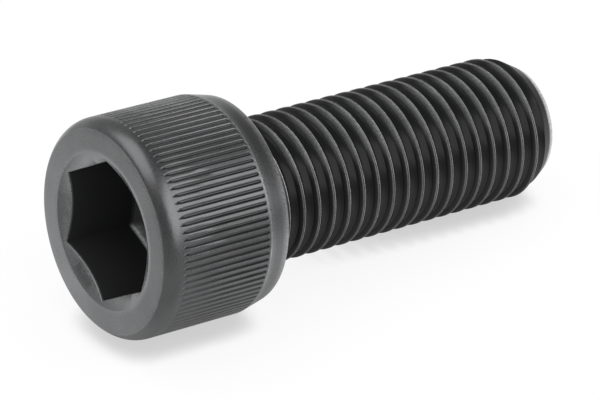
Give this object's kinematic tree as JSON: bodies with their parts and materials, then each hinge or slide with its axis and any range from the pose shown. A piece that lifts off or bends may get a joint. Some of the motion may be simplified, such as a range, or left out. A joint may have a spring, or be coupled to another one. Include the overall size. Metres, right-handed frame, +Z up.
{
  "type": "hexagon socket head cap screw",
  "caption": "Black steel cap screw with a straight-knurled cylindrical head, a hexagon socket and a full-length metric thread, used to clamp a chuck jaw.",
  "frame": {"origin": "middle of the underside of the box around the screw as it lies", "axes": "+Z up, +X level from the head towards the thread's end; the screw's own axis dips from +X by the angle at which it lies"},
  "size_m": [0.0574, 0.024, 0.025],
  "materials": {
    "black_oxide_steel": "satin black oxide"
  },
  "bodies": {
    "root": {"screw": "black_oxide_steel"}
  },
  "joints": []
}
